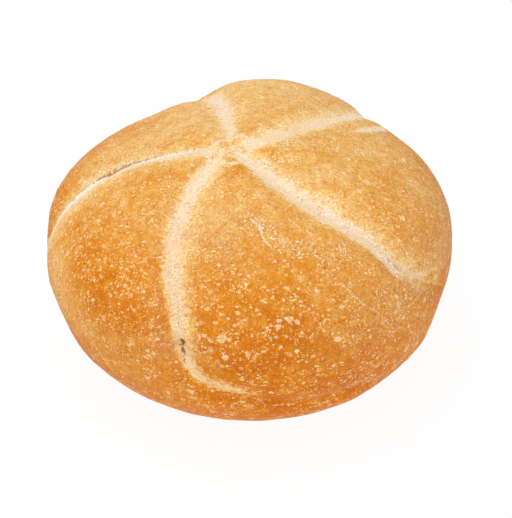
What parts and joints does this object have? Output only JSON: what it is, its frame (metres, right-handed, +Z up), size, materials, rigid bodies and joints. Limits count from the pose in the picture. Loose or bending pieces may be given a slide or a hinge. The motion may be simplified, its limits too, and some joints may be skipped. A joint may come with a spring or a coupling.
{
  "type": "kaiser roll",
  "caption": "Round golden white bread roll, domed over a flat base, with pale curved grooves swirling out of the crown between plump petals.",
  "frame": {"origin": "middle of the flat base, under the middle of the roll's outline", "axes": "+Z up out of the crown, -Y towards the side shown at the bottom of the picture, +X to its right"},
  "size_m": [0.0958, 0.091, 0.0597],
  "materials": {
    "crust": "dry golden crust, pale in the grooves"
  },
  "bodies": {
    "root": {"roll": "crust"}
  },
  "joints": []
}
